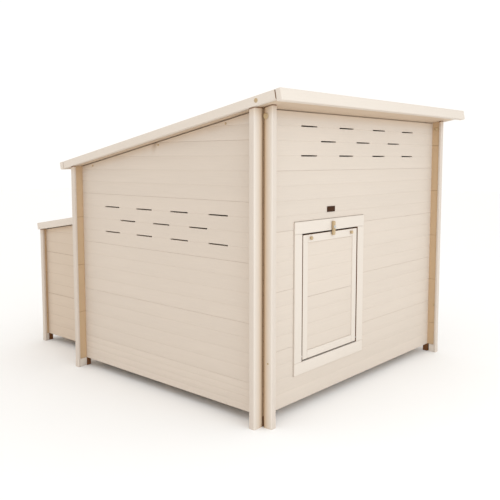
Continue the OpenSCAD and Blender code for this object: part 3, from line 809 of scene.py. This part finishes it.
def post_shells(root, out, face, width, proud, thick, foot, root_gap, top, tone, foot_in):
    """Channel round the end of a leaf, in plan (a along the leaf, b in from the outer face): a
    skin, a closed tip and a lip, with the outer edges rounded. A foot fills it to the ground."""
    s = sizes()
    r, skin, lip = s.trim_radius, s.post_skin, s.post_lip
    b0, b1 = -proud, thick
    fade = [x for x in root_gap + s.crevice_fade * np.array([0.15, 0.3, 0.5, 0.75]) if x < width - 2 * r]
    corner = [(root_gap, b0), *[(x, b0) for x in fade],
              (width, b0), (width, b1), (width - lip, b1), (width - lip, b1 - s.recess),
              (width - skin, b1 - s.recess), (width - skin, b0 + skin), (root_gap, b0 + skin)]
    radii = [r * 0.5, *[0] * len(fade), r * 1.25, r, r * 0.4, 0, 0, 0, 0]
    axes = np.array([out, -face, Z])
    profile = outline(corner, radii)
    origin = np.array([*root, 0.0])

    def roof_at(points):
        return top(origin[1] + points[:, 0] * out[1] - points[:, 1] * face[1])

    channel = prism_shell(profile, 0.0, roof_at, axes, tone, origin=origin)
    # Painted shade: warm on the outer face towards the corner crevice, dark at the crevice and inside the
    # channel, and brown at the joint near the root
    local = channel.points - origin
    out_from_root = local @ out - root_gap
    on_face = local @ -face < b0 + skin / 2
    near_root = np.clip(1 - out_from_root / s.crevice_fade, 0, 1)
    channel.marks[:, 1] = on_face * near_root
    channel.marks[:, 2] = np.where(on_face, np.clip(near_root * 4 - 3, 0, 1) * 0.75, 0.5)
    paint_joint_shade(channel, out_from_root < s.joint_shade_reach / 2)
    # Height under the roof, for the painted shadow line and warm shade under it
    channel.below = top(channel.points[:, 1]) - channel.points[:, 2]
    inset = 0.0003
    feet = []
    for start, end in ((foot_in, -inset), (max(foot_in, 0.0), width - inset)):
        if end > start:
            block = bar_shell((start, b0 + inset, 0.0), (end, b1 - inset, foot), 0.0015, axes, tone, length=2)
            block.points = block.points + origin
            # The block under the crossing lies in shade, which is painted dark brown
            if start < 0:
                block.marks[:, 1:] = 1.0
            feet.append(block)
    return [channel, *feet]


def corner_shells(corner, signs, width, w, top, tone):
    """The two posts of a corner. signs say which way X and Y lead out of the house there."""
    s = sizes()
    proud = s.post_skin - s.recess
    out_x, out_y = X * signs[0], Y * signs[1]
    rest = (width, proud, w["thick"], w["foot"])
    gap = proud + s.crevice
    return (post_shells(corner, out_x, out_y, *rest, 0.0, top, tone, -w["thick"])
            + post_shells(corner, out_y, out_x, *rest, gap, top, tone + 0.13, gap))


def build_corner_posts():
    w, line = wall_frame(), underside(ROOF_TRIM, ROOF)
    width = w["x"][0] - box("front_left_posts")[0][0]
    corners = (("front_left", -1, -1), ("front_right", 1, -1), ("back_left", -1, 1), ("back_right", 1, 1))
    for (name, sx, sy), tone in zip(corners, tones(5, 4)):
        shells = corner_shells((w["x"][sx > 0], w["y"][sy > 0]), (sx, sy), width, w, line, tone)
        replace_node(name + "_posts", shells, slot="smooth_trim")


# --- Door ---

def bars(node, radius, axes=PLAIN, seed=1, length=None):
    """A rounded bar in place of each solid of a CAD node."""
    found = solids(node, axes)
    toned = zip(found, tones(seed, len(found)))
    return [bar_shell(lo, hi, radius, axes, tone, length) for (lo, hi), tone in toned]


def paint_joint_shade(shell, where):
    """Marks the chosen points of a shell as the brown of a joint."""
    shell.marks[where, 1:] = 1.0


def paint_gap_shade(shells, near_gap):
    """Browns the bars behind their front edges, where near_gap says so of how far inside the
    door's edges a point lies."""
    low, high = box("door_edging")
    for bar in shells:
        x, y, z = bar.points.T
        inset = np.minimum.reduce([x - low[0], high[0] - x, z - low[2], high[2] - z])
        paint_joint_shade(bar, near_gap(inset) & (y > y.min() + sizes().joint_shade_reach / 2))
    return shells


def bar_piece(node, body, finish, radius, axes=PLAIN, seed=1, length=None):
    replace_node(node, bars(node, radius, axes, seed, length), body, finish)


def dome(radius, height, sides=0.3, steps=7):
    """Profile of a domed head: a short side, then (r cos t, side + rise sin t) up to the axis."""
    rise = height * (1 - sides)
    t = np.linspace(0, math.pi / 2, steps)
    arc = np.stack([radius * np.cos(t), height * sides + rise * np.sin(t)], 1)
    foot = [(0, 0), (radius * 0.97, 0), (radius, height * sides * 0.3)]
    return np.concatenate([foot, arc[:-1], [(0, height)]])


# Profiles as shares of (radius, height): a rounded head on a narrow neck, and a waisted knob
BUTTON = np.array([(0, 0), (0.72, 0), (0.66, 0.2), (0.7, 0.34), (0.93, 0.42), (1, 0.56), (0.95, 0.74),
                   (0.78, 0.9), (0.45, 0.98), (0, 1)])
KNOB = np.array([(0, 0), (0.75, 0), (0.62, 0.12), (0.52, 0.3), (0.62, 0.45), (0.93, 0.58), (1, 0.7),
                 (0.92, 0.85), (0.6, 0.97), (0, 1)])


def build_door():
    s = sizes()
    # Painted brown shade of the door gap on the edging
    edging = paint_gap_shade(bars("door_edging", 0.0022, seed=3), lambda inset: inset < s.joint_shade_reach / 2)
    replace_node("door_edging", edging, "door", "smooth_trim")
    found = solids("door_boards")
    shells = []
    for (lo, hi), tone in zip(found, tones(8, len(found))):
        lo, hi = lo + X * HAIR, hi - X * HAIR
        board = Board(lo[2], hi[2], lo[1], hi[1], tone)
        shells.append(board_shell(WALL_AXES[1], board, np.linspace(lo[0], hi[0], 9)))
    replace_node("door_boards", shells, "door")
    bar_piece("door_cleats", "door", "inner_board", 0.002, seed=4)
    knobs = []
    for lo, hi in solids("door_knobs"):
        mid = (lo + hi) / 2
        r, h = (hi[0] - lo[0]) / 2, hi[1] - lo[1]
        knobs.append(lathe_shell(KNOB * (r, h), (mid[0], hi[1], mid[2]), -Y))
    replace_node("door_knobs", knobs, "door", "tan_fixings")
    pivots = []
    for lo, hi in solids("door_pivots"):
        mid, r, span = (lo + hi) / 2, (hi[2] - lo[2]) / 2, hi[0] - lo[0]
        edge = r * 0.3
        profile = [(0, 0), (r * 0.8, 0), (r, edge), (r, span - edge), (r * 0.8, span), (0, span)]
        pivots.append(lathe_shell(profile, (lo[0], mid[1], mid[2]), X))
    replace_node("door_pivots", pivots, "door", "zinc")


def build_door_frame():
    s = sizes()
    # Painted brown shade of the door gap on the frame's inner edges
    shells = paint_gap_shade(bars("door_frame", 0.0016, seed=6), lambda inset: -inset < s.door_gap)
    replace_node("door_frame", shells, slot="smooth_trim")


def build_turn_button():
    replace_node("door_latch", [bar_shell(*box("door_latch"), 0.0026, tone=0.4)], "latch", "tan_fixings")
    lo, hi = box("latch_screw")
    mid, head, long = (lo + hi) / 2, (hi[0] - lo[0]) / 2, hi[1] - lo[1]
    shank = head / 1.7
    profile = [(0, 0), (shank, 0), (shank, long - 0.002), (head, long - 0.002), (head, long - 0.0008),
               (head * 0.8, long), (head * 0.4, long), (head * 0.3, long - 0.001), (0, long - 0.001)]
    replace_node("latch_screw", [lathe_shell(profile, (mid[0], hi[1], mid[2]), -Y)], "house", "zinc")


def build_plate():
    replace_node("name_plate", [bar_shell(*box("name_plate"), 0.0007)], "house", "dark_plate")


# --- Roof ---

def slope_piece(node, body, axes, outer_up, seed, grooves=GROOVES, warmth=0.0):
    """Boards side by side down a slope, grooved on the face that shows."""
    shells = []
    found = sorted(solids(node, axes), key=lambda s: s[0][1])
    for (lo, hi), tone in zip(found, tones(seed, len(found))):
        face, back = (hi[2], lo[2]) if outer_up else (lo[2], hi[2])
        board = Board(lo[1], hi[1], face, back, tone, grooves)
        along = np.linspace(lo[0], hi[0], 25)
        shells.append(board_shell(axes, board, along, warm=lambda a: np.full(a.shape, warmth)))
    replace_node(node, shells, body)


def build_roof():
    s = sizes()
    slope_piece("roof_boards", "roof", ROOF, True, 31)
    # The soffit takes painted warm shade over 0.55 of its colour
    slope_piece("roof_soffit", "roof", ROOF, False, 37, 1, 0.55)
    bar_piece("roof_battens", "roof", "inner_board", 0.001, ROOF, 33)
    for k, side in enumerate(("front", "rear")):
        bar_piece(f"roof_{side}_trim", "roof", "smooth_trim", s.trim_radius, ROOF, 40 + k)
    plugs = []
    for side, sign, tone in (("left", -1, 0.4), ("right", 1, 0.6)):
        node = f"roof_{side}_trim"
        lo, hi = box(node, ROOF)
        lo[1], hi[1] = lo[1] + s.trim_joint, hi[1] - s.trim_joint
        outer = hi if sign > 0 else lo
        outer[0] -= sign * s.plug_height
        trim = bar_shell(lo, hi, s.trim_radius, ROOF, tone)
        # Painted brown shade in the joint at the trim's upper end, where it meets the next trim
        paint_joint_shade(trim, trim.points @ ROOF[1] < lo[1] + s.joint_shade_reach)
        replace_node(node, [trim], "roof", "smooth_trim")
        seat = np.array([outer[0], lo[1] + s.plug_place, (lo[2] + hi[2]) / 2]) @ ROOF
        plugs.append(lathe_shell(dome(s.plug_radius, s.plug_height), seat, X * sign))
    make_piece("roof_plugs", plugs, "roof", "tan_fixings")


def build_hinges():
    for node in ("roof_hinge_plates", "roof_hinge_straps", "lid_hinge_plates", "lid_hinge_straps",
                 "hinge_pins"):
        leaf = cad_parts[node]
        leaf.data.materials.clear()
        leaf.data.materials.append(finish_named("zinc"))


# --- Nest box ---

def build_nest_walls():
    w = wall_frame()
    h = w["height"]
    line = underside(LID_TRIM, LID)
    (x0, y0, _), x1 = box("nest_left_wall")[0], box("nest_right_wall")[1][0]
    y1, thick = box("nest_rear_wall")[1][1], w["thick"]
    seam = 0.0003
    for node, sign, seed in (("nest_left_wall", -1, 51), ("nest_right_wall", 1, 52)):
        shells = []
        for k, tone in enumerate(tones(seed, 3)):
            low = w["foot"] + k * h
            level = (low, low + h - seam)
            neck = (low + h / 4, low + 3 * h / 4)
            top = (lambda a, out: line(a)) if line(y1 + LEAF_REACH) < level[1] else None
            shells.append(wall_board(node, 0, sign, (y0 - thick - 1, y1), thick, level, neck, tone, top,
                                     extra=np.linspace(y0, y1 - thick, 12), warmth=0.3))
        replace_node(node, shells)
    shells = []
    for j, tone in enumerate(tones(53, 3)):
        level, neck = half_step_row(w, j, seam)
        top = pitch = None
        if j == 2:
            level, top, pitch = (level[0], line(y1 - thick)), lambda a, out: line(out), h
        run = (x0, x1)
        shells.append(wall_board("nest_rear_wall", 1, 1, run, thick, level, neck, tone, top, pitch=pitch))
    replace_node("nest_rear_wall", shells)


def build_nest_posts():
    line, (left, _), (_, right) = underside(LID_TRIM, LID), box("nest_left_wall"), box("nest_right_wall")
    width, back = left[0] - box("nest_posts")[0][0], box("nest_rear_wall")[1][1]
    shells = []
    for sign, x, tone in ((-1, left[0], 0.3), (1, right[0], 0.6)):
        shells += corner_shells((x, back), (sign, 1), width, wall_frame(), line, tone)
    replace_node("nest_posts", shells, slot="smooth_trim")


def build_nest_lid():
    slope_piece("nest_lid_boards", "nest_lid", LID, True, 61)
    bar_piece("nest_lid_trim", "nest_lid", "smooth_trim", 0.003, LID, 62)


def build_nest_inside():
    bar_piece("nest_floor", "house", "inner_board", 0.001, seed=63)
    bar_piece("nest_dividers", "house", "pale_board", 0.002, seed=64, length=1)


# --- Inside ---

def build_inside():
    for node, radius, axes, seed in (("floor_boards", 0.001, PLAIN, 71), ("floor_bearers", 0.002, PLAIN, 72),
                                     ("roost_bars", 0.008, PLAIN, 73), ("eave_rails", 0.002, ROOF, 74)):
        bar_piece(node, "house", "inner_board", radius, axes, seed)
    shells = []
    for lo, hi in solids("roost_brackets"):
        wall = 0.009
        (x0, y0, z0), (x1, y1, z1) = lo, hi
        corner = [(y0, z0), (y1, z0), (y1, z1), (y1 - wall, z1), (y1 - wall, z0 + wall),
                  (y0 + wall, z0 + wall), (y0 + wall, z1), (y0, z1)]
        profile = outline(corner, [0.004, 0.004, 0.002, 0.002, 0, 0, 0.002, 0.002])
        shells.append(prism_shell(profile, x0, x1, WALL_AXES[0], grain_axis=0))
    replace_node("roost_brackets", shells)


# --- Fixings ---

def build_fixings():
    """Bolt heads outside and their caps inside the leaves, and the eave screws."""
    shells = []
    thick = wall_frame()["thick"]
    for lo, hi in solids("fixings"):
        mid, wide = (lo + hi) / 2, (hi[1] - lo[1]) / 2
        side = -1 if mid[0] < 0 else 1
        outer, inner = (lo[0], hi[0]) if side < 0 else (hi[0], lo[0])
        big = wide > BIG_HEAD
        at_eave = abs(outer - inner) > thick * 1.5
        head_h = 0.005 if big else 0.004 if at_eave else 0.002
        seat = outer - side * head_h
        head = BUTTON * (wide, head_h) if big else dome(wide * 0.6, head_h * 0.5)
        shells.append(lathe_shell(head, (seat, mid[1], mid[2]), X * side))
        if not at_eave:
            cap_h = 0.004 if big else 0.002
            cap_r = wide - 0.001 if big else wide
            shells.append(lathe_shell(dome(cap_r, cap_h), (inner + side * cap_h, mid[1], mid[2]), -X * side))
    replace_node("fixings", shells, "house", "tan_fixings")


# --- Stage ---

def staged(name, data):
    """An object of the stage, linked to the scene."""
    made = bpy.data.objects.new(name, data)
    bpy.context.scene.collection.objects.link(made)
    return made


def build_camera():
    st = bpy.context.scene.coop_stage
    data = bpy.data.cameras.new("camera")
    data.lens, data.shift_y = st.lens, st.shift
    camera = staged("camera", data)
    camera.location = st.camera_place
    camera.rotation_euler = (math.pi / 2 - st.pitch, 0, -st.yaw)
    bpy.context.scene.camera = camera


def build_stage():
    """Floor, surroundings and the two soft lights."""
    build_camera()
    st = bpy.context.scene.coop_stage
    half = st.floor_size / 2
    mesh = bpy.data.meshes.new("floor")
    signs = ((-1, -1), (1, -1), (1, 1), (-1, 1))
    mesh.from_pydata([(x * half, y * half, 0) for x, y in signs], [], [(0, 1, 2, 3)])
    pale = bpy.data.materials.new("pale_floor")
    pale.use_nodes = True
    shader = pale.node_tree.nodes["Principled BSDF"].inputs
    shader["Base Color"].default_value = (0.98, 0.98, 0.98, 1)
    shader["Roughness"].default_value = 0.9
    mesh.materials.append(pale)
    staged("floor", mesh)

    world = bpy.data.worlds.new("surroundings")
    world.use_nodes = True
    sky = world.node_tree.nodes["Background"].inputs
    sky["Color"].default_value = (*st.sky_colour, 1)
    sky["Strength"].default_value = st.sky
    bpy.context.scene.world = world
    bpy.context.scene.view_settings.view_transform = "Standard"
    for name, place, aim, size, power, tint in (
            ("key", (-0.9, -3.3, 1.5), (0, 0, 0.5), 2.4, st.key, st.key_colour),
            ("fill", (-4.0, -1.0, 2.0), (0, 0, 0.4), 3.0, st.fill, (1, 1, 1))):
        data = bpy.data.lights.new(name, "AREA")
        data.shape, data.size, data.energy, data.color = "SQUARE", size, power, tint
        light = staged(name, data)
        light.location = place
        light.rotation_euler = (Vector(aim) - Vector(place)).to_track_quat("-Z", "Y").to_euler()


STEPS = (
    ("front_wall", "Five grooved boards, with the vents and the doorway", build_front_wall),
    ("back_wall", "Four grooved boards, with the holes to the nests", build_back_wall),
    ("left_wall", "Six boards under the sloping roof", lambda: build_side_wall("left", -1, 17)),
    ("right_wall", "Six boards under the sloping roof", lambda: build_side_wall("right", 1, 19)),
    ("corner_posts", "Channels round the corner leaves", build_corner_posts),
    ("door_frame", "Four bars round the doorway", build_door_frame),
    ("door", "Edging, boards, cleats, knobs and pivots", build_door),
    ("turn_button", "Turn button and its screw", build_turn_button),
    ("blank_plate", "Plate above the door", build_plate),
    ("roof", "Boards, soffit, battens and trims", build_roof),
    ("hinges", "Finish of the hinges", build_hinges),
    ("nest_walls", "Walls of the nest box", build_nest_walls),
    ("nest_posts", "Posts of the nest box", build_nest_posts),
    ("nest_lid", "Lid boards and trims", build_nest_lid),
    ("nest_inside", "Floor and dividers of the nest box", build_nest_inside),
    ("inside", "Floor, roosts and rails", build_inside),
    ("fixings", "Bolt heads, caps and screws", build_fixings),
    ("stage", "Camera, floor and light", build_stage),
)


def operator(key, text, work):
    """An operator class that does one step of the work."""

    def execute(self, context):
        work()
        return {"FINISHED"}

    label = key.replace("_", " ").capitalize()
    return type("COOP_OT_" + key, (bpy.types.Operator,),
                {"bl_idname": "coop." + key, "bl_label": label, "__doc__": text, "execute": execute})


class COOP_PT_panel(bpy.types.Panel):
    """Sidebar panel with one button per step."""

    bl_idname = "COOP_PT_panel"
    bl_label = "Chicken coop"
    bl_space_type = "VIEW_3D"
    bl_region_type = "UI"
    bl_category = "Coop"

    def draw(self, context):
        for key, *_ in STEPS:
            self.layout.operator("coop." + key)


GROUPS = (CoopSizes, CoopColours, CoopStage)
CLASSES = [*GROUPS, *[operator(*step) for step in STEPS], COOP_PT_panel]


def register():
    for cls in CLASSES:
        bpy.utils.register_class(cls)
    bpy.types.Scene.coop_sizes = PointerProperty(type=CoopSizes)
    bpy.types.Scene.coop_colours = PointerProperty(type=CoopColours)
    bpy.types.Scene.coop_stage = PointerProperty(type=CoopStage)


def unregister():
    del bpy.types.Scene.coop_sizes, bpy.types.Scene.coop_colours, bpy.types.Scene.coop_stage
    for cls in reversed(CLASSES):
        bpy.utils.unregister_class(cls)


def main():
    register()
    for key, *_ in STEPS:
        getattr(bpy.ops.coop, key)()


if __name__ == "__main__":
    main()
